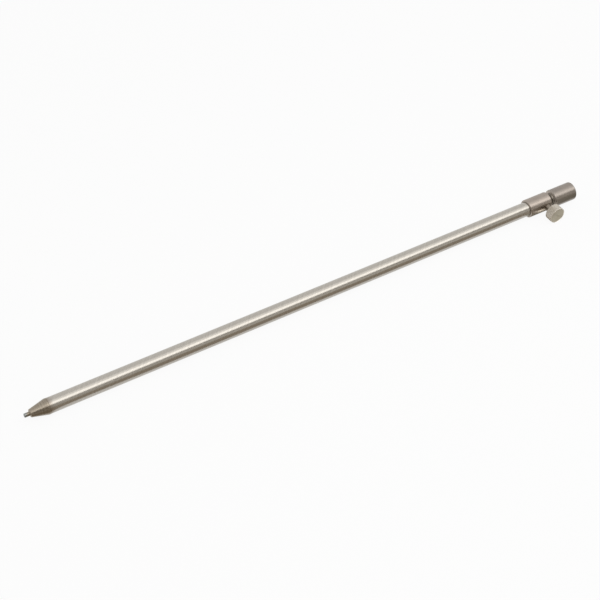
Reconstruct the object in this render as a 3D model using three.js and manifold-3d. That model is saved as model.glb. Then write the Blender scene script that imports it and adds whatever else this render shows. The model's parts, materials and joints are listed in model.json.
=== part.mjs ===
// A telescopic bank stick for an angler, pushed in and lying on the ground.
// A spiked outer tube carries a collar with a thumb screw. An inner tube slides out of the collar,
// and the thick head on its end takes an alarm or a rod rest in a threaded socket.
// Millimetres, +Z up. The stick lies along X with its spike toward -X and its knob toward -Y.
// The origin is on the ground, under the middle of the stick's box.

import * as THREE from 'three';
import { mergeVertices } from 'three/addons/utils/BufferGeometryUtils.js';
import Module from 'manifold-3d';

const wasm = await Module();
wasm.setup();

// Clearances
const fitGap = 0.15; // round a part that slides or seats in another
const seatGap = 0.1; // between faces that meet end to end
const cutOverrun = 1; // how far a drilled hole's cutter runs past the metal

// Outer tube
const tubeDiameter = 16;
const tubeWall = 1;
const tubeShownLength = 574.2; // between the spike and the collar
const tubeEndChamfer = 0.25;

// Ground spike: a turned cone with a spigot in the tube, and a pin in its tip
const coneLength = 17;
const coneTipDiameter = 8.5;
const coneTipChamfer = 0.5;
const landLength = 1.8; // the plain band behind the cone
const landStep = 0.15; // how far it stands out from the tube
const spigotLength = 24;
const spigotChamfer = 0.8;
const pinDiameter = 4.2;
const pinShownLength = 5.85;
const pinSeatDepth = 9;
const pinChamfer = 0.35;

// Collar on the tube's mouth
const collarWall = 2; // round the tube
const collarMouthChamfer = 0.9; // round the tube
const collarChamfer = 0.45;
const shoulderWall = 1.05; // between the collar's seat and the boss's hole
const guideBushLength = 5;
const guideBushChamfer = 0.3;

// Inner tube and its foot
const slideSpace = 1; // between the two tubes' walls
const innerTubeWall = 1;
const innerTubeChamfer = 0.2;
const footClearance = 95.75; // from the spigot to the foot plug, which leaves 440 for the slide
const footBushLength = 22;
const footBushChamfer = 0.4;
const plugSeatDepth = 14;
const plugFlangeLength = 3;
const plugChamfer = 0.5;

// Head
const headWall = 4.2; // round the inner tube
const headLength = 28.9;
const headNeckChamfer = 1.1; // round the inner tube
const headChamfer = 0.7;
const headGap = 6.1; // between the collar and the head
const headSeatDepth = 12;
const socketDiameter = 8.3; // inside the crests of the thread that an alarm screws into
const socketDepth = 12;
const socketDrillPoint = 1.6;
const socketMouthChamfer = 0.9;

// Thumb screw, its boss on the collar and its pad
const screwFromSpikeEnd = 23; // from the collar's spike end to the screw's axis
const screwFromHeadEnd = 5.6; // from the screw's axis to the collar's head end
const bossDiameter = 7.6;
const bossShownHeight = 5.9;
const bossInset = 0.8; // from the collar's bore to the boss's inner end
const bossChamfer = 0.4;
const studDiameter = 5;
const studChamfer = 0.4;
const studSeatDepth = 6;
const noseDiameter = 2.8;
const noseLength = 1.3;
const threadGap = 0.2;
const padClearance = 0.3; // between the pad and the inner tube
const padLength = 2.6;
const padChamfer = 0.3;
const knobDiameter = 18.8;
const knobHeight = 9.3;
const knobChamfer = 0.7;
const knobStandoff = 1.45; // between the boss and the knob
const knurlTeeth = 48;
const knurlDepth = 0.35;

// Sides of the round parts
const roundSides = 48;
const smallSides = 32;
const ringSides = 10; // round the section of the rubber ring

// Radii that follow from the sizes above
const tubeRadius = tubeDiameter / 2;
const tubeBoreRadius = tubeRadius - tubeWall;
const innerTubeRadius = tubeBoreRadius - slideSpace;
const innerBoreRadius = innerTubeRadius - innerTubeWall;
const guideRadius = innerTubeRadius + fitGap; // every bore that the inner tube runs in
const collarSeatRadius = tubeRadius + fitGap;
const collarRadius = collarSeatRadius + collarWall;
const sealSection = tubeRadius - guideRadius;
const headRadius = innerTubeRadius + headWall;
const plugRadius = innerBoreRadius - fitGap;
const bossRadius = bossDiameter / 2;
const studRadius = studDiameter / 2;
const noseRadius = noseDiameter / 2;
const knobRadius = knobDiameter / 2;

// Stations along the stick, from the tip of the pin
const coneStart = pinShownLength;
const landStart = coneStart + coneLength;
const tubeStart = landStart + landLength;
const collarStart = tubeStart + tubeShownLength;
const screwStation = collarStart + screwFromSpikeEnd;
const collarEnd = screwStation + screwFromHeadEnd;
const collarShoulder = screwStation - bossRadius - fitGap - shoulderWall;
const sealStart = collarShoulder - seatGap - sealSection;
const guideBushEnd = sealStart - seatGap;
const guideBushStart = guideBushEnd - guideBushLength;
const tubeEnd = guideBushStart - seatGap;
const spigotEnd = tubeStart + spigotLength;
const flangeStart = spigotEnd + footClearance;
const flangeEnd = flangeStart + plugFlangeLength;
const footBushStart = flangeEnd + seatGap;
const footBushEnd = footBushStart + footBushLength;
const headStart = collarEnd + headGap;
const headEnd = headStart + headLength;

// Distances from the stick's axis, along the thumb screw
const padStart = innerTubeRadius + padClearance;
const padEnd = padStart + padLength;
const bossStart = guideRadius + bossInset;
const bossEnd = collarRadius + bossShownHeight;
const knobStart = bossEnd + knobStandoff;
const knobEnd = knobStart + knobHeight;

// The head lies on the ground, and the stick has rolled over until the knob's rim lies there too.
const axisHeight = Math.max(headRadius, collarRadius);
const rimReach = knobEnd - knobChamfer;
const rimDistance = Math.hypot(rimReach, knobRadius);
const knobDroop = Math.asin(axisHeight / rimDistance) - Math.atan2(knobRadius, rimReach);
const knobSideReach = Math.max(
  knobEnd * Math.cos(knobDroop) + (knobRadius - knobChamfer) * Math.abs(Math.sin(knobDroop)),
  rimReach * Math.cos(knobDroop) + knobRadius * Math.abs(Math.sin(knobDroop)),
);

const steel = { color: 0xb8b1a6, roughness: 0.34, metalness: 1 };
const darkSteel = { color: 0x968d82, roughness: 0.38, metalness: 1 };
const pinSteel = { color: 0xaab0b0, roughness: 0.3, metalness: 1 };
const brass = { color: 0xc2a15a, roughness: 0.4, metalness: 1 };
const nylon = { color: 0xd9d5c8, roughness: 0.55, metalness: 0 };
const rubber = { color: 0x161615, roughness: 0.8, metalness: 0 };

function part(name, geometry, finish) {
  const mesh = new THREE.Mesh(geometry, new THREE.MeshStandardMaterial(finish));
  mesh.name = name;
  return mesh;
}

// A solid turned about X from points [radius, station], listed so that the metal is on their left.
function turned(profile, sides = roundSides) {
  const points = profile.map(([radius, station]) => new THREE.Vector2(radius, station));
  return new THREE.LatheGeometry(points, sides).rotateZ(-Math.PI / 2);
}

function closed(profile) {
  return [...profile, profile[0]];
}

// A plain ring or sleeve, chamfered on its outer edges.
function sleeve(inner, outer, start, end, chamfer, sides) {
  return turned(closed([
    [inner, start],
    [outer - chamfer, start],
    [outer, start + chamfer],
    [outer, end - chamfer],
    [outer - chamfer, end],
    [inner, end],
  ]), sides);
}

function toSolid(geometry) {
  const bare = geometry.clone().deleteAttribute('normal').deleteAttribute('uv');
  const merged = mergeVertices(bare);
  return new wasm.Manifold(new wasm.Mesh({
    numProp: 3,
    vertProperties: merged.attributes.position.array,
    triVerts: new Uint32Array(merged.index.array),
  }));
}

function toGeometry(solid) {
  const mesh = solid.getMesh();
  const geometry = new THREE.BufferGeometry();
  geometry.setAttribute('position', new THREE.BufferAttribute(mesh.vertProperties, 3));
  geometry.setIndex(new THREE.BufferAttribute(mesh.triVerts, 1));
  return geometry;
}

function spikePin() {
  return turned([
    [0, 0],
    [pinDiameter / 2 - pinChamfer, 0],
    [pinDiameter / 2, pinChamfer],
    [pinDiameter / 2, coneStart + pinSeatDepth],
    [0, coneStart + pinSeatDepth],
  ], smallSides);
}

function spikeCone() {
  const holeRadius = pinDiameter / 2 + fitGap;
  const holeEnd = coneStart + pinSeatDepth + seatGap;
  const landRadius = tubeRadius + landStep;
  const spigotRadius = tubeBoreRadius - fitGap;
  return turned([
    [0, holeEnd],
    [holeRadius, holeEnd],
    [holeRadius, coneStart],
    [coneTipDiameter / 2 - coneTipChamfer, coneStart],
    [coneTipDiameter / 2, coneStart + coneTipChamfer],
    [landRadius, landStart],
    [landRadius, tubeStart],
    [spigotRadius, tubeStart],
    [spigotRadius, spigotEnd - spigotChamfer],
    [spigotRadius - spigotChamfer, spigotEnd],
    [0, spigotEnd],
  ]);
}

function outerTube() {
  return sleeve(tubeBoreRadius, tubeRadius, tubeStart + seatGap, tubeEnd, tubeEndChamfer);
}

// The collar's wide bore seats the tube's end, the guide bush and the seal, and ends at a shoulder.
function clampCollar(screwFrame) {
  const body = turned(closed([
    [collarSeatRadius, collarStart],
    [collarRadius - collarMouthChamfer, collarStart],
    [collarRadius, collarStart + collarMouthChamfer],
    [collarRadius, collarEnd - collarChamfer],
    [collarRadius - collarChamfer, collarEnd],
    [guideRadius, collarEnd],
    [guideRadius, collarShoulder],
    [collarSeatRadius, collarShoulder],
  ]));
  const holeRadius = bossRadius + fitGap;
  const holeEnd = collarRadius + cutOverrun;
  const hole = turned([[0, 0], [holeRadius, 0], [holeRadius, holeEnd], [0, holeEnd]], smallSides);
  return toGeometry(toSolid(body).subtract(toSolid(hole.applyMatrix4(screwFrame))));
}

function guideBush() {
  return sleeve(guideRadius, tubeRadius, guideBushStart, guideBushEnd, guideBushChamfer);
}

// A rubber ring of round section between the guide bush and the shoulder.
function collarSeal() {
  const half = sealSection / 2;
  const profile = Array.from({ length: ringSides }, (_, i) => {
    const turn = (2 * Math.PI * i) / ringSides;
    return [guideRadius + half + half * Math.cos(turn), sealStart + half + half * Math.sin(turn)];
  });
  return turned(closed(profile));
}

function screwBoss() {
  return sleeve(studRadius + threadGap, bossRadius, bossStart, bossEnd, bossChamfer, smallSides);
}

function screwPad() {
  const holeRadius = noseRadius + fitGap;
  const holeStart = padEnd - noseLength - seatGap;
  return turned([
    [0, padStart],
    [studRadius - padChamfer, padStart],
    [studRadius, padStart + padChamfer],
    [studRadius, padEnd],
    [holeRadius, padEnd],
    [holeRadius, holeStart],
    [0, holeStart],
  ], smallSides);
}

function thumbStud() {
  const shankStart = padEnd + seatGap;
  const shankEnd = knobStart + studSeatDepth;
  return turned([
    [0, shankStart - noseLength],
    [noseRadius, shankStart - noseLength],
    [noseRadius, shankStart],
    [studRadius - studChamfer, shankStart],
    [studRadius, shankStart + studChamfer],
    [studRadius, shankEnd],
    [0, shankEnd],
  ], smallSides);
}

// The knob's rim is cut with straight teeth: every other column of its points lies at their root.
function thumbKnob() {
  const holeRadius = studRadius + fitGap;
  const holeEnd = knobStart + studSeatDepth + seatGap;
  const faceRadius = knobRadius - knobChamfer;
  const knob = turned([
    [0, holeEnd],
    [holeRadius, holeEnd],
    [holeRadius, knobStart],
    [faceRadius, knobStart],
    [knobRadius, knobStart + knobChamfer],
    [knobRadius, knobEnd - knobChamfer],
    [faceRadius, knobEnd],
    [0, knobEnd],
  ], 2 * knurlTeeth);
  const position = knob.attributes.position;
  const rootShare = (knobRadius - knurlDepth) / knobRadius;
  const toothPitch = Math.PI / knurlTeeth;
  for (let i = 0; i < position.count; i++) {
    const radius = Math.hypot(position.getY(i), position.getZ(i));
    const column = Math.round(Math.atan2(position.getZ(i), position.getY(i)) / toothPitch);
    const onRim = radius > (knobRadius + faceRadius) / 2;
    if (onRim && column % 2 !== 0) {
      position.setY(i, position.getY(i) * rootShare);
      position.setZ(i, position.getZ(i) * rootShare);
    }
  }
  return knob;
}

function innerTube() {
  const start = footBushEnd + seatGap;
  const end = headStart + headSeatDepth - seatGap;
  return sleeve(innerBoreRadius, innerTubeRadius, start, end, innerTubeChamfer);
}

// The plug's shank is glued in the tube, and the foot bush turns on it above the flange.
function footPlug() {
  const shankEnd = footBushEnd + plugSeatDepth;
  return turned([
    [0, flangeStart],
    [innerTubeRadius - plugChamfer, flangeStart],
    [innerTubeRadius, flangeStart + plugChamfer],
    [innerTubeRadius, flangeEnd],
    [plugRadius, flangeEnd],
    [plugRadius, shankEnd - plugChamfer],
    [plugRadius - plugChamfer, shankEnd],
    [0, shankEnd],
  ]);
}

function footBush() {
  const outer = tubeBoreRadius - fitGap;
  return sleeve(plugRadius + fitGap, outer, footBushStart, footBushEnd, footBushChamfer);
}

function head() {
  const seatEnd = headStart + headSeatDepth;
  const socketRadius = socketDiameter / 2;
  const socketEnd = headEnd - socketDepth;
  return turned([
    [0, seatEnd],
    [guideRadius, seatEnd],
    [guideRadius, headStart],
    [headRadius - headNeckChamfer, headStart],
    [headRadius, headStart + headNeckChamfer],
    [headRadius, headEnd - headChamfer],
    [headRadius - headChamfer, headEnd],
    [socketRadius + socketMouthChamfer, headEnd],
    [socketRadius, headEnd - socketMouthChamfer],
    [socketRadius, socketEnd],
    [0, socketEnd - socketDrillPoint],
  ]);
}

// The thumb screw's own frame: X runs out from the stick's axis to the knob.
const thumbScrew = new THREE.Group();
thumbScrew.position.set(screwStation, 0, 0);
thumbScrew.rotation.set(knobDroop, 0, -Math.PI / 2);
thumbScrew.updateMatrix();
thumbScrew.add(
  part('screw_boss', screwBoss(), steel),
  part('screw_pad', screwPad(), brass),
  part('thumb_stud', thumbStud(), steel),
  part('thumb_knob', thumbKnob(), steel),
);

const outerStick = new THREE.Group();
outerStick.add(
  part('spike_pin', spikePin(), pinSteel),
  part('spike_cone', spikeCone(), darkSteel),
  part('outer_tube', outerTube(), steel),
  part('clamp_collar', clampCollar(thumbScrew.matrix), steel),
  part('guide_bush', guideBush(), nylon),
  part('collar_seal', collarSeal(), rubber),
  thumbScrew,
);

const innerStick = new THREE.Group();
innerStick.add(
  part('inner_tube', innerTube(), steel),
  part('foot_plug', footPlug(), nylon),
  part('foot_bush', footBush(), nylon),
  part('head', head(), darkSteel),
);

const bankStick = new THREE.Group();
bankStick.position.set(-headEnd / 2, (knobSideReach - axisHeight) / 2, axisHeight);
bankStick.add(outerStick, innerStick);

export default bankStick;
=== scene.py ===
# %% [markdown]
# # A telescopic bank stick
# A bank stick is pushed into the ground beside the water and holds up a rod rest or a bite alarm.
# This one is nearly all turned and drawn stainless steel: an outer tube with a ground spike, a collar
# with a thumb screw, and an inner tube that slides out with a thick threaded head on its end.
#
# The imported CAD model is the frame: every piece made here takes the place of one CAD node and rides on
# the same body, so that the stick still telescopes and the screw still turns.

# %% Load the frame
import json
import math

import bmesh
import bpy
from mathutils import Matrix, Quaternion, Vector


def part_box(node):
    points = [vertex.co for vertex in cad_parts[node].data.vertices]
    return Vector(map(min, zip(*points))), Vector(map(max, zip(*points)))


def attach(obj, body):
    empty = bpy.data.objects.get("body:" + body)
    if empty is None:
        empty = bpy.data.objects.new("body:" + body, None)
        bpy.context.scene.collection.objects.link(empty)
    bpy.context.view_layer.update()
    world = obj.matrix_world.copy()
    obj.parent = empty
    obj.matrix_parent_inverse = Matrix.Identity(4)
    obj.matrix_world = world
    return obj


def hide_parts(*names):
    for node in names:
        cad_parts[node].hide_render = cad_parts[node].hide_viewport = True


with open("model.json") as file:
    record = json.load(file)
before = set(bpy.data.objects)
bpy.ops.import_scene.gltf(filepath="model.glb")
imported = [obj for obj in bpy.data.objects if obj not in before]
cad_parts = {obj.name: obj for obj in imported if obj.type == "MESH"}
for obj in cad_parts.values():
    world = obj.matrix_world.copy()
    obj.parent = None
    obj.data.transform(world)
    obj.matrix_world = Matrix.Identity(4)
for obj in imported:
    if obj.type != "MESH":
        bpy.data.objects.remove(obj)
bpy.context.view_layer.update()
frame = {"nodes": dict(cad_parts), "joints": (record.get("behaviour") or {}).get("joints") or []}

# %% [markdown]
# ## One axis for everything that is turned
# A lathe makes nearly every piece of the stick, so nearly every piece is a profile spun about one line.
# The line could be written down as numbers, but it is safer to read it from the frame: the outer tube's
# box gives its height and its place, and the pin's box says where the stick begins. Lengths below are in
# millimetres from the tip of the pin, which is how a turner's drawing would give them.

# %% The stick's axis and its stations
mm = 0.001

tube_low, tube_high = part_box("outer_tube")
axis_y = (tube_low.y + tube_high.y) / 2
axis_z = (tube_low.z + tube_high.z) / 2
tip_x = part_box("spike_pin")[0].x
stick_axis = Matrix.Translation((tip_x, axis_y, axis_z))


def ends(node):
    """The stations of a node's two ends, in millimetres from the tip of the pin."""
    low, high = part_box(node)
    return (low.x - tip_x) / mm, (high.x - tip_x) / mm


def radius_of(node):
    """Half of a node's height, in millimetres."""
    low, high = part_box(node)
    return (high.z - low.z) / 2 / mm


print("axis at y %.2f, z %.2f mm" % (axis_y / mm, axis_z / mm))
print("tube from %.1f to %.1f mm" % ends("outer_tube"))

# %% [markdown]
# ## Spinning a profile
# Blender can spin a profile with its Screw modifier, but then every ring is a perfect circle. Knurling
# and threads are rings whose radius changes with the angle, so this helper lays the rings itself and
# lets a piece say how its radius varies. A profile is a list of (radius, station) pairs, and a closed
# profile makes a ring or a tube.

# %% The lathe
def lathe(name, profile, sides=128, closed=False, vary=None):
    """A mesh object turned about its own X axis from (radius, station) pairs in millimetres."""
    shape = bmesh.new()
    rings = []
    for radius, station in profile:
        if radius == 0:
            rings.append([shape.verts.new((station * mm, 0, 0))])
            continue
        ring = []
        for step in range(sides):
            turn = 2 * math.pi * step / sides
            reach = vary(radius, station, turn) if vary else radius
            side = reach * math.cos(turn) * mm
            height = reach * math.sin(turn) * mm
            ring.append(shape.verts.new((station * mm, side, height)))
        rings.append(ring)
    following = rings[1:] + rings[:1] if closed else rings[1:]
    for near, far in zip(rings, following):
        for step in range(sides):
            corners = [near[step % len(near)], near[(step + 1) % len(near)],
                       far[(step + 1) % len(far)], far[step % len(far)]]
            shape.faces.new(list(dict.fromkeys(corners)))
    bmesh.ops.recalc_face_normals(shape, faces=shape.faces)
    mesh = bpy.data.meshes.new(name)
    shape.to_mesh(mesh)
    shape.free()
    mesh.shade_smooth()
    piece = bpy.data.objects.new(name, mesh)
    bpy.context.scene.collection.objects.link(piece)
    return piece


round_steps = 6


def rounded(before, corner, after, radius):
    """Points of a round over a square corner of a profile, in place of the corner."""
    arrive = [(b - c) / math.dist(before, corner) for b, c in zip(before, corner)]
    leave = [(a - c) / math.dist(after, corner) for a, c in zip(after, corner)]
    points = []
    for step in range(round_steps + 1):
        turn = math.pi / 2 * step / round_steps
        points.append(tuple(c + radius * ((1 - math.sin(turn)) * i + (1 - math.cos(turn)) * o)
                            for c, i, o in zip(corner, arrive, leave)))
    return points


# %% [markdown]
# ## Edges that catch the light
# A turned edge is never a knife edge: the turner breaks it, and the thin bright line along it is most of
# what makes metal look like metal. The Bevel modifier rounds each corner of a plain profile. Its hardened
# normals keep the long faces flat in shading, where plain smooth shading would smear each corner's light
# along half a metre of tube. The collar, the boss, the knob and the head carry their rounds in their
# profiles instead, because a bevel leaves slivers beside a drilled hole, a thread or a knurl.

# %% Break the edges
def break_edges(piece, width, segments=3):
    """Rounds a piece's corners. The width is in millimetres."""
    bevel = piece.modifiers.new("broken_edges", "BEVEL")
    bevel.width = width * mm
    bevel.segments = segments
    bevel.limit_method = "ANGLE"
    bevel.angle_limit = math.radians(18)
    bevel.harden_normals = True


def fit(piece, place, body, node, finish):
    """Puts a piece in place of a CAD node, on the node's body, with its finish."""
    piece.matrix_world = place
    piece.data.materials.append(finish)
    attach(piece, body)
    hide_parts(node)
    print("%-20s %6d faces, on %s" % (piece.name, len(piece.data.polygons), body))


def refinish(piece, finish, chosen):
    """One more finish, for faces chosen by how far they turn along the axis and how far out they lie."""
    piece.data.materials.append(finish)
    for face in piece.data.polygons:
        if chosen(face.normal.x, math.hypot(face.center.y, face.center.z) / mm):
            face.material_index = len(piece.data.materials) - 1


# %% [markdown]
# ## Turned steel
# A lathe tool leaves very fine rings. They run round the tube, round the cone and round each end face, so
# one number serves for all of them: the station plus the radius, which changes along a side and along an
# end face alike. Feeding that number to a one-dimensional noise gives rings on every face that a tool has
# cut, and no UV map is needed. The same rings stretch each reflection across themselves, along the stick,
# and leave it sharp round the stick. The shader's anisotropy does that: its tangent runs round the axis,
# and a rotation of a quarter turn lays the stretch across the rings.

# %% The rings that a tool leaves
def tool_rings(tree, pitch):
    """A node output from 0 to 1 that changes from ring to ring. The pitch is in millimetres."""
    place = tree.nodes.new("ShaderNodeTexCoord")
    across = tree.nodes.new("ShaderNodeVectorMath")
    across.operation = "MULTIPLY"
    across.inputs[1].default_value = (0, 1, 1)
    reach = tree.nodes.new("ShaderNodeVectorMath")
    reach.operation = "LENGTH"
    split = tree.nodes.new("ShaderNodeSeparateXYZ")
    path = tree.nodes.new("ShaderNodeMath")
    path.operation = "ADD"
    rings = tree.nodes.new("ShaderNodeTexNoise")
    rings.noise_dimensions = "1D"
    rings.inputs["Scale"].default_value = 1 / (pitch * mm)
    rings.inputs["Detail"].default_value = 3.0
    rings.inputs["Roughness"].default_value = 0.65
    tree.links.new(place.outputs["Object"], across.inputs[0])
    tree.links.new(across.outputs["Vector"], reach.inputs[0])
    tree.links.new(place.outputs["Object"], split.inputs[0])
    tree.links.new(split.outputs["X"], path.inputs[0])
    tree.links.new(reach.outputs["Value"], path.inputs[1])
    tree.links.new(path.outputs["Value"], rings.inputs["W"])
    return rings.outputs["Fac"]


# %% [markdown]
# ## Stains, tints and marks
# Used steel isn't even: it has soft stains, it changes tone from one place to another, and a ground tube
# has faint marks that climb round it. The same tints along the stick also carry painted light and painted
# shade, on the inner tube in the gap and by the head. Each of these is a node output from 0 to 1, and small
# helpers turn such an output into a colour or a number for the shader.

# %% Noises into colours and numbers
def cloud(tree, size):
    """A soft uneven node output, for stains and handling. The size is in millimetres."""
    place = tree.nodes.new("ShaderNodeTexCoord")
    noise = tree.nodes.new("ShaderNodeTexNoise")
    noise.inputs["Scale"].default_value = 1 / (size * mm)
    noise.inputs["Detail"].default_value = 4
    tree.links.new(place.outputs["Object"], noise.inputs["Vector"])
    return noise.outputs["Fac"]


def blend_of(tree, share, first, second):
    """A colour between two colours, by a node output."""
    mix = tree.nodes.new("ShaderNodeMix")
    mix.data_type = "RGBA"
    mix.inputs["A"].default_value = (*first, 1)
    mix.inputs["B"].default_value = (*second, 1)
    tree.links.new(share, mix.inputs["Factor"])
    return mix.outputs["Result"]


def mixed_in(tree, share, surface, colour):
    """A node's colour with one more colour mixed in, by a node output."""
    mix = tree.nodes.new("ShaderNodeMix")
    mix.data_type = "RGBA"
    mix.inputs["B"].default_value = (*colour, 1)
    tree.links.new(share, mix.inputs["Factor"])
    tree.links.new(surface, mix.inputs["A"])
    return mix.outputs["Result"]


# Nearly all of a noise lies between these two values.
noise_low = 0.3
noise_high = 0.7


def spread_of(tree, share, low, high):
    """A number between two numbers, by the output of a noise."""
    spread = tree.nodes.new("ShaderNodeMapRange")
    spread.inputs["From Min"].default_value = noise_low
    spread.inputs["From Max"].default_value = noise_high
    spread.inputs["To Min"].default_value = low
    spread.inputs["To Max"].default_value = high
    tree.links.new(share, spread.inputs["Value"])
    return spread.outputs["Result"]


# %% Along the stick and round it
def along(tree, first, last):
    """A node output that goes from 1 to 0 between two stations, in millimetres."""
    place = tree.nodes.new("ShaderNodeTexCoord")
    split = tree.nodes.new("ShaderNodeSeparateXYZ")
    fade = tree.nodes.new("ShaderNodeMapRange")
    fade.interpolation_type = "SMOOTHSTEP"
    fade.inputs["From Min"].default_value = first * mm
    fade.inputs["From Max"].default_value = last * mm
    fade.inputs["To Min"].default_value = 1.0
    fade.inputs["To Max"].default_value = 0.0
    tree.links.new(place.outputs["Object"], split.inputs[0])
    tree.links.new(split.outputs["X"], fade.inputs["Value"])
    return fade.outputs["Result"]


def spiral_marks(tree, lead, pitch):
    """A node output from 0 to 1 for fine marks that climb round the piece, in millimetres."""
    place = tree.nodes.new("ShaderNodeTexCoord")
    split = tree.nodes.new("ShaderNodeSeparateXYZ")
    turn = tree.nodes.new("ShaderNodeMath")
    turn.operation = "ARCTAN2"
    climb = tree.nodes.new("ShaderNodeMath")
    climb.operation = "MULTIPLY_ADD"
    climb.inputs[1].default_value = lead * mm / (2 * math.pi)
    marks = tree.nodes.new("ShaderNodeTexNoise")
    marks.noise_dimensions = "1D"
    marks.inputs["Scale"].default_value = 1 / (pitch * mm)
    marks.inputs["Detail"].default_value = 2.0
    tree.links.new(place.outputs["Object"], split.inputs[0])
    tree.links.new(split.outputs["Z"], turn.inputs[0])
    tree.links.new(split.outputs["Y"], turn.inputs[1])
    tree.links.new(turn.outputs["Value"], climb.inputs[0])
    tree.links.new(split.outputs["X"], climb.inputs[2])
    tree.links.new(climb.outputs["Value"], marks.inputs["W"])
    return marks.outputs["Fac"]


# %% One recipe for every turned piece
# Sizes are in millimetres, and a shade is a share of the metal's own colour.
patch_size = 14
stain_shade = 0.62
mark_shade = 0.5
mark_lead = 42
mark_pitch = 2.6
smoother_rings = 0.04
rougher_rings = 0.05


def shaded(colour, share):
    return tuple(c * share for c in colour)


def turned_metal(name, colour, roughness, pitch, groove, anisotropy=0.6, stain=0.0, contrast=0.08,
                 tinted=(), spiral=0.0):
    """Metal with tool rings. The pitch and the groove's depth are in millimetres."""
    finish = bpy.data.materials.new(name)
    finish.use_nodes = True
    tree = finish.node_tree
    metal = tree.nodes["Principled BSDF"]
    metal.inputs["Metallic"].default_value = 1.0
    metal.inputs["Anisotropic"].default_value = anisotropy
    metal.inputs["Anisotropic Rotation"].default_value = 0.25
    round_axis = tree.nodes.new("ShaderNodeTangent")
    round_axis.direction_type = "RADIAL"
    round_axis.axis = "X"
    tree.links.new(round_axis.outputs["Tangent"], metal.inputs["Tangent"])
    rings = tool_rings(tree, pitch)
    ringed = spread_of(tree, rings, 0, 1)
    surface = blend_of(tree, ringed, shaded(colour, 1 - contrast), shaded(colour, 1 + contrast))
    stained = spread_of(tree, cloud(tree, patch_size), 0, stain)
    surface = mixed_in(tree, stained, surface, shaded(colour, stain_shade))
    if spiral:
        marked = spread_of(tree, spiral_marks(tree, mark_lead, mark_pitch), 0, spiral)
        surface = mixed_in(tree, marked, surface, shaded(colour, mark_shade))
    for first, last, tint in tinted:
        surface = mixed_in(tree, along(tree, first, last), surface, tint)
    tree.links.new(surface, metal.inputs["Base Color"])
    dulled = spread_of(tree, rings, roughness - smoother_rings, roughness + rougher_rings)
    tree.links.new(dulled, metal.inputs["Roughness"])
    bump = tree.nodes.new("ShaderNodeBump")
    bump.inputs["Strength"].default_value = 1.0
    bump.inputs["Distance"].default_value = groove * mm
    tree.links.new(rings, bump.inputs["Height"])
    tree.links.new(bump.outputs["Normal"], metal.inputs["Normal"])
    return finish


# %% [markdown]
# ## The finishes of this stick
# The long tube is ground smooth and is the brightest. The collar and the thumb screw are a little rougher,
# the head and the cone are left as turned and look darker and browner, and the pin in the tip is brown toward
# the cone and a cooler grey at its end. Faces that were cut straight across scatter more light than the sides
# do, so the ends of the cone, the collar and the head and the knob's face have finishes of their own. The
# head's end face by the collar is also painted much lighter, a painted light in the gap, and the knob's rim
# is painted lighter than its face, a painted light. The knob's rounded edge is a near-white steel, a painted
# highlight. The inner tube is drawn steel, painted dark where it shows in the gap between collar and head, a
# painted shade, with a painted lighter band right by the head. All lean to a warm grey.

# %% The steels
# A tint is full at its first station and gone at its second, in millimetres from the tip of the pin.
tube_by_the_spike = (22.85, 31, (0.29, 0.245, 0.2))
cool_pin_tip = (0.8, 4.5, (0.245, 0.255, 0.245))
# The inner tube's steel is painted dark, a painted shade where it shows in the gap between collar and head.
slide_in_the_collar = (618, 626, (0.44, 0.41, 0.36))
# Inside the collar it keeps a lighter tone, and right by the head a lighter band is a painted light.
painted_light_by_the_head = (632.6, 631.8, (0.5, 0.46, 0.4))

tube_steel = turned_metal("ground_tube_steel", (0.466, 0.437, 0.392), roughness=0.27, pitch=2.2,
                          groove=0.002, contrast=0.03, tinted=[tube_by_the_spike], spiral=0.2)
collar_steel = turned_metal("turned_collar_steel", (0.362, 0.314, 0.272), roughness=0.36, pitch=0.35,
                            groove=0.006, stain=0.2)
boss_steel = turned_metal("turned_boss_steel", (0.25, 0.215, 0.175), roughness=0.4, pitch=0.3,
                          groove=0.006)
head_steel = turned_metal("turned_head_steel", (0.312, 0.275, 0.242), roughness=0.38, pitch=0.4,
                          groove=0.006, stain=0.2)
cone_steel = turned_metal("turned_cone_steel", (0.305, 0.262, 0.208), roughness=0.31, pitch=1.7,
                          groove=0.012, stain=0.3, contrast=0.15)
faced_cone_steel = turned_metal("faced_cone_steel", (0.42, 0.36, 0.28), roughness=0.5, pitch=0.4,
                                groove=0.006)
pin_steel = turned_metal("bright_pin_steel", (0.235, 0.198, 0.15), roughness=0.3, pitch=0.3,
                         groove=0.002, tinted=[cool_pin_tip])
# The knob's rim is painted lighter than the steel of its face: a painted light on the knurl.
knob_steel = turned_metal("knurled_knob_painted_light_steel", (0.575, 0.53, 0.46), roughness=0.42, pitch=0.5,
                          groove=0.008, anisotropy=0.0, stain=0.25)
knob_face_steel = turned_metal("faced_knob_steel", (0.41, 0.37, 0.285), roughness=0.42, pitch=0.5,
                               groove=0.008, stain=0.25)
# The knob's rounded edge gets a near-white steel: a painted highlight along it.
knob_edge_steel = turned_metal("knob_edge_painted_highlight_steel", (0.9, 0.84, 0.77), roughness=0.3, pitch=0.5,
                               groove=0.004)
# Rougher, as a faced cut is, and painted much lighter than the head's steel: a painted light on the face in
# the gap.
faced_head_painted_light_steel = turned_metal("faced_head_painted_light_steel", (0.59, 0.535, 0.48), roughness=0.6, pitch=0.4,
                                groove=0.006, anisotropy=0.2)
faced_collar_steel = turned_metal("faced_collar_steel", (0.42, 0.375, 0.325), roughness=0.5, pitch=0.4,
                                  groove=0.006)
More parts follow.
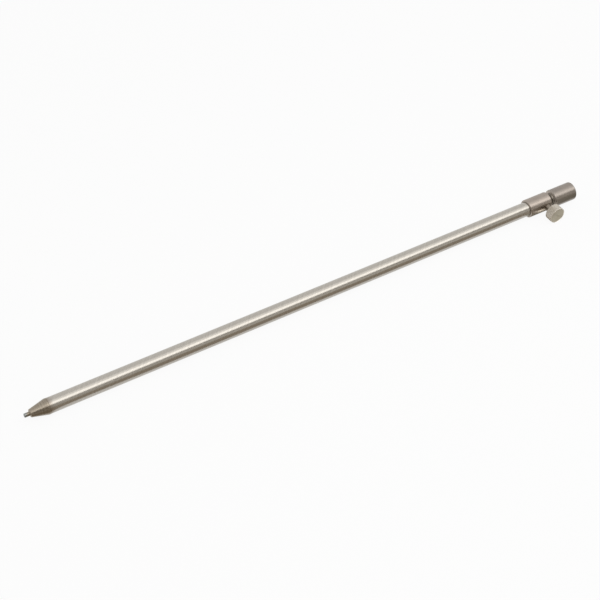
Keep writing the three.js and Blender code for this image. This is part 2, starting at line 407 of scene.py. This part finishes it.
# Painted dark: a painted shade for the gap between collar and head.
slide_steel = turned_metal("slide_steel_painted_dark_in_the_gap", (0.1, 0.088, 0.072), roughness=0.42, pitch=1.4,
                           groove=0.002, contrast=0.04, tinted=[slide_in_the_collar, painted_light_by_the_head])
pad_brass = turned_metal("turned_brass", (0.62, 0.45, 0.18), roughness=0.32, pitch=0.3, groove=0.003)
print("steels:", [m.name for m in bpy.data.materials if m.use_nodes and "steel" in m.name])


# %% [markdown]
# ## Nylon and rubber
# The bushes are natural nylon: milky, dull and a little see-through at thin edges. The seal is black rubber
# with a fine grain. Neither is metal, so each is a plain Principled shader whose roughness and bump come
# from small noises.

# %% The two soft materials
grains_in_a_patch = 12
uneven = 0.08


def moulded(name, colour, shade, roughness, grain, depth, subsurface=0.0):
    """Nylon or rubber. The grain's size and depth are in millimetres."""
    finish = bpy.data.materials.new(name)
    finish.use_nodes = True
    tree = finish.node_tree
    surface = tree.nodes["Principled BSDF"]
    surface.inputs["Subsurface Weight"].default_value = subsurface
    surface.inputs["Subsurface Radius"].default_value = (0.002, 0.0018, 0.0014)
    surface.inputs["Subsurface Scale"].default_value = 1.0
    patches = cloud(tree, grain * grains_in_a_patch)
    fine = cloud(tree, grain)
    tree.links.new(blend_of(tree, patches, colour, shade), surface.inputs["Base Color"])
    dulled = spread_of(tree, fine, roughness - uneven, roughness + uneven)
    tree.links.new(dulled, surface.inputs["Roughness"])
    bump = tree.nodes.new("ShaderNodeBump")
    bump.inputs["Distance"].default_value = depth * mm
    tree.links.new(fine, bump.inputs["Height"])
    tree.links.new(bump.outputs["Normal"], surface.inputs["Normal"])
    return finish


nylon = moulded("natural_nylon", (0.75, 0.72, 0.64), (0.66, 0.62, 0.53), roughness=0.45, grain=0.4,
                depth=0.01, subsurface=0.3)
rubber = moulded("seal_rubber_black", (0.022, 0.022, 0.021), (0.035, 0.034, 0.032), roughness=0.6,
                 grain=0.15, depth=0.02)
print("soft materials:", nylon.name, rubber.name)

# %% [markdown]
# ## The outer tube
# A steel tube with a wall of one millimetre, ground on its outside. Only the outside shows, but the bore is
# made too, since the inner tube slides in it and it can be seen into when the stick is taken apart. One
# closed profile spun round gives both walls and both cut ends.

# %% Outer tube
tube_wall = 1.0
tube_radius = radius_of("outer_tube")
tube_bore = tube_radius - tube_wall
tube_start, tube_end = ends("outer_tube")

outer_tube = lathe("outer_tube_ground", [
    (tube_bore, tube_start), (tube_radius, tube_start),
    (tube_radius, tube_end), (tube_bore, tube_end),
], sides=160, closed=True)
break_edges(outer_tube, width=0.2)
fit(outer_tube, stick_axis, "outer_stick", "outer_tube", tube_steel)

# %% [markdown]
# ## The ground spike
# The cone is turned from bar, with a coarse feed that leaves rings you can see from arm's length. Bump
# mapping could fake them, but the outline of a real cone shows them too, so they are cut into the profile:
# the radius dips by a few hundredths of a millimetre once per turn of the feed. The cone starts with a
# rounded nose round the pin, and behind it come a plain band and a spigot that is glued into the tube.

# %% Spike cone
cone_start, spigot_end = ends("spike_cone")
cone_length = 17.0
land_length = 1.8
land_radius = radius_of("spike_cone")
cone_tip_radius = 4.25
cone_edge = 0.9
# The gap that every glued or pressed joint keeps all round.
fit_gap = 0.15
spigot_radius = tube_bore - fit_gap
spigot_edge = 0.8
pin_gap = 0.02
pin_hole_radius = radius_of("spike_pin") + pin_gap
pin_hole_depth = 9.1
pin_hole_end = cone_start + pin_hole_depth
feed = 0.85
feed_depth = 0.035
groove_shares = (0.35, 0.7)
land_start = cone_start + cone_length
land_end = land_start + land_length

cone_flank = []
feed_turns = int((cone_length - cone_edge) / feed)
for turn in range(feed_turns):
    for share in (0.0, *groove_shares):
        run = (turn + share) / feed_turns
        on_cone = cone_tip_radius + (land_radius - cone_tip_radius) * run
        dip = feed_depth if share else 0.0
        cone_flank.append((on_cone - dip, cone_start + cone_edge + (cone_length - cone_edge) * run))

# The rounded nose ends on the flank's first point, so the flank follows from its second.
spike_cone = lathe("spike_cone_turned", [
    (0, pin_hole_end), (pin_hole_radius, pin_hole_end), (pin_hole_radius, cone_start),
    *rounded((0, cone_start), (cone_tip_radius, cone_start), (cone_tip_radius, land_start), cone_edge),
    *cone_flank[1:],
    (land_radius, land_start), (land_radius, land_end),
    (spigot_radius, land_end), (spigot_radius, spigot_end - spigot_edge),
    (spigot_radius - spigot_edge, spigot_end), (0, spigot_end),
])
break_edges(spike_cone, width=0.06, segments=2)
fit(spike_cone, stick_axis, "outer_stick", "spike_cone", cone_steel)
cone_face_slope = -0.9
refinish(spike_cone, faced_cone_steel, lambda slope, reach: slope < cone_face_slope)
print("rings on the cone:", feed_turns)

# %% [markdown]
# ## The pin in the tip
# A short hard pin stands out of the cone and opens the ground for it. It is a plain piece of rod with a
# well broken edge, so its profile is short, with a slightly crowned end face.

# %% Spike pin
pin_start, pin_end = ends("spike_pin")
pin_radius = radius_of("spike_pin")
pin_edge = 0.35
pin_crown = 0.1
half_way_crown = 0.04

spike_pin = lathe("spike_pin_bright", [
    (0, pin_start), (pin_radius / 2, pin_start + half_way_crown),
    (pin_radius - pin_edge, pin_start + pin_crown), (pin_radius, pin_start + pin_edge + pin_crown),
    (pin_radius, pin_end), (0, pin_end),
], sides=64)
break_edges(spike_pin, width=0.12)
fit(spike_pin, stick_axis, "outer_stick", "spike_pin", pin_steel)

# %% [markdown]
# ## The thumb screw's own axis
# The screw stands across the stick and droops a little, because the stick has rolled over until the knob
# touches the table. The frame knows that direction: it is the axis of the joint that turns the screw. A
# matrix with that direction as its X axis lets the same lathe turn all of the screw's pieces.

# %% The screw's axis
screw_joint = next(j for j in frame["joints"] if j["name"] == "screw_turn")
screw_foot = Vector(screw_joint["pos_m"])
screw_out = Vector(screw_joint["axis"]).normalized()
along_stick = Vector((1, 0, 0))
screw_side = screw_out.cross(along_stick).normalized()
screw_axis = Matrix.Translation(screw_foot) @ Matrix((
    (screw_out.x, along_stick.x, screw_side.x),
    (screw_out.y, along_stick.y, screw_side.y),
    (screw_out.z, along_stick.z, screw_side.z),
)).to_4x4()


def reach_of(node):
    """How near and how far a node lies from the stick's axis, along the screw, in millimetres."""
    corners = frame["nodes"][node].data.vertices
    out = [screw_out.dot(corner.co - screw_foot) / mm for corner in corners]
    return min(out), max(out)


print("screw points", [round(v, 3) for v in screw_out])
print("knob from %.2f to %.2f mm" % reach_of("thumb_knob"))

# %% [markdown]
# ## The collar
# The collar is a turned sleeve: its wide bore seats the tube, and its narrow mouth guides the inner tube.
# The boss of the thumb screw stands in a drilled hole, and a Boolean is the natural tool for that, because
# it is just what the drill does. The cut is applied, so that no hidden cutter stays in the scene. The edges
# are rounded in the profile, and one more ring close beside each round keeps the long face next to it flat
# in shading. The mouth where the tube enters gets a small countersink, the dark line that the photograph
# shows there.

# %% A drill
def drill_out(piece, place, cutter, cutter_place):
    """Cuts one turned object out of another and removes the cutter."""
    piece.matrix_world = place
    cutter.matrix_world = cutter_place
    cut = piece.modifiers.new("drill", "BOOLEAN")
    cut.operation = "DIFFERENCE"
    cut.solver = "EXACT"
    cut.object = cutter
    bpy.context.view_layer.update()
    done = bpy.data.meshes.new_from_object(piece.evaluated_get(bpy.context.evaluated_depsgraph_get()))
    piece.modifiers.clear()
    piece.data = done
    bpy.data.objects.remove(cutter)
    done.shade_smooth()


# %% Collar
collar_start, collar_end = ends("clamp_collar")
collar_radius = radius_of("clamp_collar")
collar_edge = 0.45
mouth_round = 1.2
beside_round = 0.2
guide_radius = 6.15
guide_edge = 0.2
seat_radius = tube_radius + fit_gap
seal_room = 0.1
shoulder = ends("collar_seal")[1] + seal_room
mouth_sink = 0.15
boss_radius = 3.8
drill_length = 14

clamp_collar = lathe("clamp_collar_turned", [
    (seat_radius + mouth_sink, collar_start),
    *rounded((seat_radius, collar_start), (collar_radius, collar_start), (collar_radius, collar_end),
             mouth_round),
    (collar_radius, collar_start + mouth_round + beside_round),
    (collar_radius, collar_end - collar_edge - beside_round),
    *rounded((collar_radius, collar_start), (collar_radius, collar_end), (guide_radius, collar_end),
             collar_edge),
    (guide_radius + guide_edge, collar_end), (guide_radius, collar_end - guide_edge),
    (guide_radius, shoulder), (seat_radius, shoulder), (seat_radius, collar_start + mouth_sink),
], closed=True)
boss_drill = lathe("boss_drill", [
    (0, 0), (boss_radius, 0), (boss_radius, drill_length), (0, drill_length),
], sides=96)
drill_out(clamp_collar, stick_axis, boss_drill, screw_axis)
clamp_collar.data.set_sharp_from_angle(angle=math.radians(32))
fit(clamp_collar, stick_axis, "outer_stick", "clamp_collar", collar_steel)
end_face_slope = -0.8
refinish(clamp_collar, faced_collar_steel, lambda slope, reach: slope < end_face_slope)

# %% [markdown]
# ## What the collar holds
# A nylon bush and a rubber ring sit behind the collar's shoulder. They can't be seen on the assembled
# stick, but they are the reason that the inner tube slides without rattling, and someone may take the model
# apart. The bush has a small lead-in at its bore, and the ring a round section.

# %% Guide bush and seal
bush_start, bush_end = ends("guide_bush")
lead_in = 0.3
guide_bush = lathe("guide_bush_nylon", [
    (guide_radius + lead_in, bush_start), (tube_radius, bush_start), (tube_radius, bush_end),
    (guide_radius, bush_end), (guide_radius, bush_start + lead_in),
], sides=96, closed=True)
break_edges(guide_bush, width=0.1)
fit(guide_bush, stick_axis, "outer_stick", "guide_bush", nylon)

seal_start, seal_end = ends("collar_seal")
seal_half = (seal_end - seal_start) / 2
seal_reach = guide_radius + seal_half
seal_middle = seal_start + seal_half
seal_sides = 20
seal_section = [2 * math.pi * step / seal_sides for step in range(seal_sides)]
collar_seal = lathe("collar_seal_ring", [
    (seal_reach + seal_half * math.cos(turn), seal_middle + seal_half * math.sin(turn))
    for turn in seal_section
], sides=96, closed=True)
fit(collar_seal, stick_axis, "outer_stick", "collar_seal", rubber)

# %% [markdown]
# ## Threads
# A thread is a helix, which Blender could make with a Screw modifier and a lot of trimming at both ends.
# Here it is a turned piece whose radius rises and falls once per pitch, and the rise moves along as the
# angle grows, which is all that a helix is. The rings lie about an eighth of a pitch apart. Each thread
# fades out over a short way at its ends, as a real one does where the die stops.

# %% Thread form
rings_in_a_pitch = 8
flank_height = 1.3
crest_flat = 0.15


def thread_rings(start, end, pitch):
    """Stations for the rings of a thread, an even share of the pitch apart."""
    count = max(2, round((end - start) / pitch * rings_in_a_pitch))
    return [start + (end - start) * n / count for n in range(count + 1)]


def threaded(start, end, pitch, crest, root, fade, shift=0.0):
    """A radius for each place on a thread, from its crest radius to its root radius."""
    def radius(plain, station, turn):
        if plain != crest or not start <= station <= end:
            return plain
        phase = ((station - shift) / pitch - turn / (2 * math.pi)) % 1.0
        height = min(1.0, max(0.0, abs(phase * 2 - 1) * flank_height - crest_flat))
        depth = min(1.0, (station - start) / fade, (end - station) / fade)
        return crest + (root - crest) * height * depth
    return radius


# %% [markdown]
# ## The boss, the pad and the stud
# The boss is the round neck on the collar, and holds the screw's thread. The stud has a real M5 thread with
# a pitch of 0.8 mm, so one turn of the knob moves it out by 0.8 mm, and the boss's thread has the same
# helix, a hair wider. The brass pad turns on the stud's nose, so that it presses the inner tube without
# scoring it.

# %% Screw boss
boss_start, boss_end = reach_of("screw_boss")
screw_pitch = 0.8
stud_radius = 2.5
stud_root = 2.06
thread_room = 0.1
boss_edge = 0.3
boss_bore = stud_root + thread_room
boss_rings = thread_rings(boss_start, boss_end, screw_pitch)
boss_thread = threaded(boss_start, boss_end, screw_pitch, boss_bore, stud_radius + thread_room,
                       fade=0.05, shift=screw_pitch / 2)
screw_boss = lathe("screw_boss_turned", [
    (boss_radius, boss_start), (boss_radius, boss_end - 2 * boss_edge),
    *rounded((boss_radius, boss_start), (boss_radius, boss_end), (boss_bore, boss_end), boss_edge),
    *[(boss_bore, station) for station in reversed(boss_rings)],
], sides=64, closed=True, vary=boss_thread)
screw_boss.data.set_sharp_from_angle(angle=math.radians(50))
fit(screw_boss, screw_axis, "outer_stick", "screw_boss", boss_steel)

# %% Screw pad
pad_start, pad_end = reach_of("screw_pad")
nose_radius = 1.4
nose_hole_radius = nose_radius + fit_gap
nose_hole_depth = 1.4
screw_pad = lathe("screw_pad_brass", [
    (0, pad_start), (stud_radius, pad_start), (stud_radius, pad_end), (nose_hole_radius, pad_end),
    (nose_hole_radius, pad_end - nose_hole_depth), (0, pad_end - nose_hole_depth),
], sides=64)
break_edges(screw_pad, width=0.25)
fit(screw_pad, screw_axis, "pad", "screw_pad", pad_brass)

# %% Thumb stud
stud_start, stud_end = reach_of("thumb_stud")
shank_gap = 0.1
shank_start = pad_end + shank_gap
shank_taper = 0.4
stud_rings = thread_rings(shank_start + shank_taper, stud_end, screw_pitch)
stud_thread = threaded(stud_rings[0], stud_end, screw_pitch, stud_radius, stud_root, fade=0.6)
thumb_stud = lathe("thumb_stud_threaded", [
    (0, stud_start), (nose_radius, stud_start), (nose_radius, shank_start), (stud_root, shank_start),
    *[(stud_radius, station) for station in stud_rings], (0, stud_end),
], sides=64, vary=stud_thread)
thumb_stud.data.set_sharp_from_angle(angle=math.radians(50))
fit(thumb_stud, screw_axis, "thumb_screw", "thumb_stud", boss_steel)

# %% [markdown]
# ## The knob
# The knob has a straight knurl: a wheel with teeth is pressed into the rim, and pushes up ridges that the
# fingers can hold. The ridges are real geometry, because they break up the outline and sparkle where the
# rim meets the face. The rim's edges are rounded after the knurling, so each tooth ends in a small bright
# curve: its radius is the smaller of the tooth's and the round's. The face is turned, with a shallow dish
# that starts a little inside the round and a small centre mark from the lathe.

# %% Thumb knob
knob_start, knob_end = reach_of("thumb_knob")
knob_low, knob_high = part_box("thumb_knob")
knob_radius = (knob_high.x - knob_low.x) / 2 / mm
knob_edge = 0.55
teeth = 48
tooth_steps = 8
tooth_depth = 0.45
crest_share = 0.2
flat_ring = 0.3
dish_radius = knob_radius - knob_edge - flat_ring
dish_side = 0.15
dish_depth = 0.35
dish_floor = knob_end - dish_depth
centre_mark_radius = 0.9
centre_mark_depth = 0.5
stud_hole_radius = stud_radius + fit_gap
stud_hole_depth = 6.1
stud_hole_end = knob_start + stud_hole_depth


def knurled(plain, station, turn):
    """The smaller of the profile's own radius and the tooth's."""
    across = (turn * teeth / (2 * math.pi)) % 1.0
    valley = 1 - abs(2 * across - 1)
    return min(plain, knob_radius - tooth_depth * max(0, valley - crest_share) / (1 - crest_share))


thumb_knob = lathe("thumb_knob_knurled", [
    (0, stud_hole_end), (stud_hole_radius, stud_hole_end), (stud_hole_radius, knob_start),
    *rounded((0, knob_start), (knob_radius, knob_start), (knob_radius, knob_end), knob_edge),
    (knob_radius, (knob_start + knob_end) / 2),
    *rounded((knob_radius, knob_start), (knob_radius, knob_end), (0, knob_end), knob_edge),
    (dish_radius + dish_side, knob_end), (dish_radius, dish_floor),
    (centre_mark_radius, dish_floor), (0, dish_floor - centre_mark_depth),
], sides=teeth * tooth_steps, vary=knurled)
thumb_knob.data.set_sharp_from_angle(angle=math.radians(32))
# The rim gets the lighter steel, a painted light.
fit(thumb_knob, screw_axis, "thumb_screw", "thumb_knob", knob_steel)
face_slope = 0.8
refinish(thumb_knob, knob_face_steel, lambda slope, reach: slope > face_slope and reach < dish_radius)
# The round between rim and face gets the near-white steel, a painted highlight.
edge_slope_low = 0.15
edge_slope_high = 0.95
refinish(thumb_knob, knob_edge_steel,
         lambda slope, reach: edge_slope_low < slope < edge_slope_high and reach > dish_radius)

# %% [markdown]
# ## The inner tube and its foot
# The inner tube is drawn smooth, since it slides, and it shows in the gap between collar and head. Its
# foot is a nylon plug with a flange, and the foot bush turns on the plug's shank and keeps the two tubes
# in line.

# %% Inner tube
slide_start, slide_end = ends("inner_tube")
slide_radius = radius_of("inner_tube")
slide_wall = 1.0
slide_bore = slide_radius - slide_wall
inner_tube = lathe("inner_tube_polished", [
    (slide_bore, slide_start), (slide_radius, slide_start),
    (slide_radius, slide_end), (slide_bore, slide_end),
], closed=True)
break_edges(inner_tube, width=0.15)
fit(inner_tube, stick_axis, "inner_stick", "inner_tube", slide_steel)

# %% Foot plug and foot bush
plug_start, plug_end = ends("foot_plug")
plug_radius = slide_bore - fit_gap
flange_length = 3.0
flange_end = plug_start + flange_length
plug_taper_length = 1
plug_taper = 0.6
foot_plug = lathe("foot_plug_nylon", [
    (0, plug_start), (slide_radius, plug_start), (slide_radius, flange_end), (plug_radius, flange_end),
    (plug_radius, plug_end - plug_taper_length), (plug_radius - plug_taper, plug_end), (0, plug_end),
], sides=96)
break_edges(foot_plug, width=0.35)
fit(foot_plug, stick_axis, "inner_stick", "foot_plug", nylon)

foot_start, foot_end = ends("foot_bush")
foot_radius = radius_of("foot_bush")
foot_bore = plug_radius + fit_gap
groove_places = (0.3, 0.5, 0.7)
groove_half = 0.6
groove_depth = 0.5
groove_floor = foot_radius - groove_depth
foot_outside = [(foot_radius, foot_start)]
for share in groove_places:
    groove = foot_start + (foot_end - foot_start) * share
    foot_outside += [(foot_radius, groove - groove_half), (groove_floor, groove - groove_half),
                     (groove_floor, groove + groove_half), (foot_radius, groove + groove_half)]
foot_outside.append((foot_radius, foot_end))
foot_bush = lathe("foot_bush_nylon", [
    (foot_bore, foot_start), *foot_outside, (foot_bore, foot_end),
], sides=96, closed=True)
break_edges(foot_bush, width=0.2)
fit(foot_bush, stick_axis, "foot", "foot_bush", nylon)

# %% [markdown]
# ## The head
# The head is the thick end that everything screws onto. It is turned with large rounds, bored from one
# side for the inner tube and tapped from the other with the 3/8 inch thread that alarms and rod rests use.
# That thread has 20 turns to the inch, a pitch of 1.27 mm, and starts behind a countersink.

# %% Head
head_start, head_end = ends("head")
head_radius = radius_of("head")
head_edge = 1.0
neck_round = 0.9
seat_depth = 12
seat_end = head_start + seat_depth
seat_edge = 0.4
socket_crest = 4.15
socket_root = 4.72
socket_pitch = 1.27
socket_depth = 12
socket_sink = 0.9
drill_point = 1.6
plain_length = 1
socket_end = head_end - socket_depth
socket_rings = thread_rings(socket_end + plain_length, head_end - socket_sink, socket_pitch)
socket_thread = threaded(socket_rings[0], socket_rings[-1], socket_pitch, socket_crest, socket_root,
                         fade=0.5)

head = lathe("head_turned", [
    (0, seat_end), (guide_radius, seat_end),
    (guide_radius, head_start + seat_edge), (guide_radius + seat_edge, head_start),
    *rounded((guide_radius, head_start), (head_radius, head_start), (head_radius, head_end), neck_round),
    (head_radius, head_start + neck_round + beside_round),
    (head_radius, head_end - head_edge - beside_round),
    *rounded((head_radius, head_start), (head_radius, head_end), (socket_crest, head_end), head_edge),
    (socket_crest + socket_sink, head_end),
    *[(socket_crest, station) for station in reversed(socket_rings)],
    (socket_crest, socket_end), (0, socket_end - drill_point),
], vary=socket_thread)
head.data.set_sharp_from_angle(angle=math.radians(40))
fit(head, stick_axis, "inner_stick", "head", head_steel)
# The head's face by the collar gets the lighter steel, a painted light in the gap.
refinish(head, faced_head_painted_light_steel, lambda slope, reach: slope < end_face_slope)

# %% [markdown]
# ## The table
# The stick lies on a white table: its head and its knob touch it, and the shoulder of the spike comes down
# onto it 2 mm lower than the head, so the table is tipped by a fifth of a degree to meet all three.

# %% Table
def polygon(name, corners):
    """A flat object with one face, linked to the scene."""
    mesh = bpy.data.meshes.new(name)
    mesh.from_pydata(corners, [], [tuple(range(len(corners)))])
    flat = bpy.data.objects.new(name, mesh)
    bpy.context.scene.collection.objects.link(flat)
    return flat


head_touch = tip_x + (head_start + neck_round) * mm
spike_touch = tip_x + land_end * mm
table_tilt = math.atan2(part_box("spike_cone")[0].z, head_touch - spike_touch)
table_half = 30.0
table = polygon("table", [
    (-table_half, -table_half, 0), (table_half, -table_half, 0),
    (table_half, table_half, 0), (-table_half, table_half, 0),
])
table.matrix_world = Matrix.Translation((head_touch, 0, 0)) @ Matrix.Rotation(table_tilt, 4, "Y")
spike_drop = (table.matrix_world @ Vector((spike_touch - head_touch, 0, 0))).z
print("table tipped by %.3f degrees" % math.degrees(table_tilt))
print("table %.2f mm high under the spike" % (spike_drop / mm))

# %% [markdown]
# ## White to the camera
# The photograph's table is nearly pure white, with hardly a shadow. So the table glows for the camera and
# in the metal's reflections, and a thin share of plain matt white under that glow still takes the stick's
# shadow. To all other light it is just matt white, so it doesn't light the stick from below like a lamp.

# %% The table's white
def seen_directly(tree):
    """A node output that is 1 for what the camera sees, straight or in metal and glass."""
    path = tree.nodes.new("ShaderNodeLightPath")
    total = path.outputs["Is Camera Ray"]
    for kind in ("Is Glossy Ray", "Is Transmission Ray"):
        add = tree.nodes.new("ShaderNodeMath")
        add.operation = "ADD"
        add.use_clamp = True
        tree.links.new(total, add.inputs[0])
        tree.links.new(path.outputs[kind], add.inputs[1])
        total = add.outputs["Value"]
    return total


glow_share = 0.92
table_white = bpy.data.materials.new("white_table_top")
table_white.use_nodes = True
tree = table_white.node_tree
plain_layer = tree.nodes["Principled BSDF"]
plain_layer.inputs["Base Color"].default_value = (0.85, 0.85, 0.84, 1)
plain_layer.inputs["Roughness"].default_value = 0.9
plain_layer.inputs["Specular IOR Level"].default_value = 0.0
glow = tree.nodes.new("ShaderNodeEmission")
glow.inputs["Strength"].default_value = 1.0
white_share = tree.nodes.new("ShaderNodeMath")
white_share.operation = "MULTIPLY"
white_share.inputs[1].default_value = glow_share
top = tree.nodes.new("ShaderNodeMixShader")
tree.links.new(seen_directly(tree), white_share.inputs[0])
tree.links.new(white_share.outputs["Value"], top.inputs["Fac"])
tree.links.new(plain_layer.outputs["BSDF"], top.inputs[1])
tree.links.new(glow.outputs["Emission"], top.inputs[2])
tree.links.new(top.outputs["Shader"], tree.nodes["Material Output"].inputs["Surface"])
table.data.materials.append(table_white)

# %% [markdown]
# ## The studio
# Bright metal has hardly any look of its own: it shows the room. The bands along this tube are a long lamp
# above and in front, the white room behind, and the darker wall behind the camera, with the dark front of
# the table below it. So the studio has just these: a white world, a long lamp with a softer and wider one
# round it, and plain cards for the wall and the table's front. Seen from the stick, both lamps begin at
# about the camera's own height, which puts the sharp lower edge of the highlight on the tube's middle.

# %% World
world = bpy.data.worlds.new("white_room")
bpy.context.scene.world = world
world.use_nodes = True
tree = world.node_tree
room = tree.nodes["Background"]
room.inputs["Color"].default_value = (1, 1, 1, 1)
level = tree.nodes.new("ShaderNodeMapRange")
level.inputs["To Min"].default_value = 0.55
level.inputs["To Max"].default_value = 1.0
tree.links.new(seen_directly(tree), level.inputs["Value"])
tree.links.new(level.outputs["Result"], room.inputs["Strength"])
print("world:", world.name)


# %% Lamps
def round_the_stick(angle, distance):
    """A place at an angle from the front horizon over the top of the stick, in metres."""
    turn = math.radians(angle)
    return Vector((0, axis_y - distance * math.cos(turn), axis_z + distance * math.sin(turn)))


lamp_length = 2.8
lamp_centre = 0.6
lamp_side = Vector((1, 0, 0))


def long_lamp(name, lowest, highest, distance, radiance):
    """A long area lamp along the stick, between two angles round it."""
    data = bpy.data.lights.new(name, "AREA")
    data.shape = "RECTANGLE"
    data.size = lamp_length
    data.size_y = 2 * distance * math.tan(math.radians(highest - lowest) / 2)
    data.energy = radiance * math.pi * data.size * data.size_y
    lamp = bpy.data.objects.new(name, data)
    bpy.context.scene.collection.objects.link(lamp)
    place = round_the_stick((lowest + highest) / 2, distance)
    back = (place - Vector((0, axis_y, axis_z))).normalized()
    lamp.matrix_world = Matrix.Translation(place + lamp_side * lamp_centre) @ Matrix((
        lamp_side, back.cross(lamp_side), back)).transposed().to_4x4()
    print("%s: %.1f W, %.2f by %.2f m" % (name, data.energy, data.size, data.size_y))


camera_angle = 46
long_lamp("long_lamp_in_front", camera_angle, highest=76, distance=1.3, radiance=0.85)
long_lamp("soft_lamp_above", camera_angle, highest=102, distance=1.35, radiance=0.42)

# %% [markdown]
# ## What only reflections see
# A card is a plain polygon with an even colour of its own. The camera and the table's shading don't see it,
# and it throws no shadow, so it only changes what the metal reflects. The wall behind the camera is a few
# panels, each between two angles seen from the stick: a low dark band, a wall or a light sill above it, and
# a darker corner on the spike's side.

# %% A card
def plain_card(name, corners, colour, strength=1.0):
    """A card that shows in reflections and nowhere else."""
    card = polygon(name, corners)
    paint = bpy.data.materials.new(name + "_paint")
    paint.use_nodes = True
    shade = paint.node_tree.nodes.new("ShaderNodeEmission")
    shade.inputs["Color"].default_value = (*colour, 1)
    shade.inputs["Strength"].default_value = strength
    output = paint.node_tree.nodes["Material Output"]
    paint.node_tree.links.new(shade.outputs["Emission"], output.inputs["Surface"])
    card.data.materials.append(paint)
    card.visible_camera = False
    card.visible_diffuse = False
    card.visible_shadow = False
    print("card %s with %d corners" % (name, len(corners)))


# %% The wall behind the camera
wall_distance = 0.97
wall_y = axis_y - wall_distance
corner_x = -0.42
pillar_x = 0.1
far_left = -3
far_right = 4
wall_dark = (0.47, 0.43, 0.37)
corner_dark = (0.33, 0.285, 0.235)
floor_angle = -0.5
sill_angle = 4
wall_angle = 9
upper_wall_angle = 27
top_angle = 44


def wall_panel(name, left, right, low_angle, high_angle, colour):
    """A part of the wall behind the camera, between two angles seen from the stick."""
    low = axis_z + wall_distance * math.tan(math.radians(low_angle))
    high = axis_z + wall_distance * math.tan(math.radians(high_angle))
    corners = [(left, wall_y, low), (right, wall_y, low), (right, wall_y, high), (left, wall_y, high)]
    plain_card(name, corners, colour)


wall_panel("dark_corner", far_left, corner_x, wall_angle, top_angle, (0.36, 0.32, 0.27))
wall_panel("low_wall_corner", far_left, corner_x, floor_angle, wall_angle, corner_dark)
wall_panel("wall_behind_camera", corner_x, pillar_x, wall_angle, top_angle, (0.62, 0.6, 0.57))
wall_panel("low_wall", corner_x, pillar_x, floor_angle, wall_angle, wall_dark)
wall_panel("wall_beside_camera", pillar_x, far_right, upper_wall_angle, top_angle, (0.53, 0.51, 0.48))
wall_panel("sill_beside_camera", pillar_x, far_right, sill_angle, upper_wall_angle, (0.73, 0.71, 0.67))
wall_panel("low_wall_beside_camera", pillar_x, far_right, floor_angle, sill_angle, wall_dark)
print("wall from x %.2f to %.2f m, %.2f m in front of the stick" % (far_left, far_right, wall_distance))

# %% [markdown]
# ## The table's front and the small cards
# In the lower part of the tube the photograph shows the table's dark front, whose edge runs along the stick
# and comes nearer to it by the spike. Three small cards follow from the collar and the knob standing close
# to the table: a shade under the collar, a shade beside the knob, and a bright strip for the light spot low
# on the collar, which is taken here for light that the table throws back.

# %% Cards on the table
card_height = 0.0022
shade_height = 0.0004
edge_distance = 0.015
split_x = 0.326
split_distance = 0.062


def on_the_table(outline, height=card_height):
    """Corners for a card from places along the stick and distances in front of its axis, in metres."""
    return [(x, axis_y - before, height) for x, before in outline]


def strip(name, left, right, near, far, colour, height=card_height, strength=1.0):
    """A card with four corners, between two places along the stick and two distances in front of it."""
    outline = [(left, near), (right, near), (right, far), (left, far)]
    plain_card(name, on_the_table(outline, height), colour, strength)


strip("table_corner_front", left=far_left, right=corner_x, near=wall_distance, far=edge_distance,
      colour=corner_dark)
# The card by the head meets the dark one at split_x, and its own edge comes 3 mm nearer to the stick.
plain_card("table_front_by_the_head", on_the_table([
    (split_x, wall_distance), (far_right, wall_distance), (far_right, 0.012), (0.306, 0.012),
    (split_x, split_distance),
]), (0.385, 0.37, 0.32))
# The dark card's edge steps back beside the collar. Toward the spike it first backs off a little and then
# comes nearer.
plain_card("dark_table_front", on_the_table([
    (corner_x, wall_distance), (split_x, wall_distance), (split_x, split_distance), (0.3, split_distance),
    (0.2815, 0.03), (0.2815, edge_distance), (-0.2, edge_distance), (-0.25, 0.019), (-0.29, 0.019),
    (-0.32, 0.007), (corner_x, 0.007),
]), (0.41, 0.355, 0.29))
strip("shade_under_the_collar", left=0.262, right=0.332, near=0.001, far=-0.01,
      colour=(0.25, 0.22, 0.185), height=shade_height)
strip("light_caught_by_the_table", left=0.281, right=0.289, near=0.0174, far=0.014,
      colour=(1, 1, 0.94), strength=4.0)
strip("shade_beside_the_knob", left=0.266, right=0.3, near=0.014, far=0.008,
      colour=(0.4, 0.385, 0.32))

# %% [markdown]
# ## The camera
# The photograph was taken from about a metre and a half away, on the spike's side and well above the
# table, with a short telephoto lens. These numbers come from fitting a camera to the stick itself: how its
# width tapers, and where the rings of its cone, collar and head lie in the picture.

# %% Camera
camera_place = Vector((-0.570922, -0.894723, 0.974165))
camera_aim = Vector((-0.024190, 0.011262, 0.010200))
camera_roll = math.radians(-0.239)
camera_data = bpy.data.cameras.new("photograph_camera")
camera_data.lens = 83.31
camera_data.sensor_width = 36
camera_data.clip_start = 0.01
camera = bpy.data.objects.new("photograph_camera", camera_data)
bpy.context.scene.collection.objects.link(camera)
camera.location = camera_place
camera.rotation_mode = "QUATERNION"
camera.rotation_quaternion = ((camera_aim - camera_place).to_track_quat("-Z", "Y")
                              @ Quaternion((0, 0, 1), camera_roll))
bpy.context.scene.camera = camera
bpy.context.scene.view_settings.view_transform = "Standard"
print("camera %.2f m from its aim" % (camera_aim - camera_place).length)
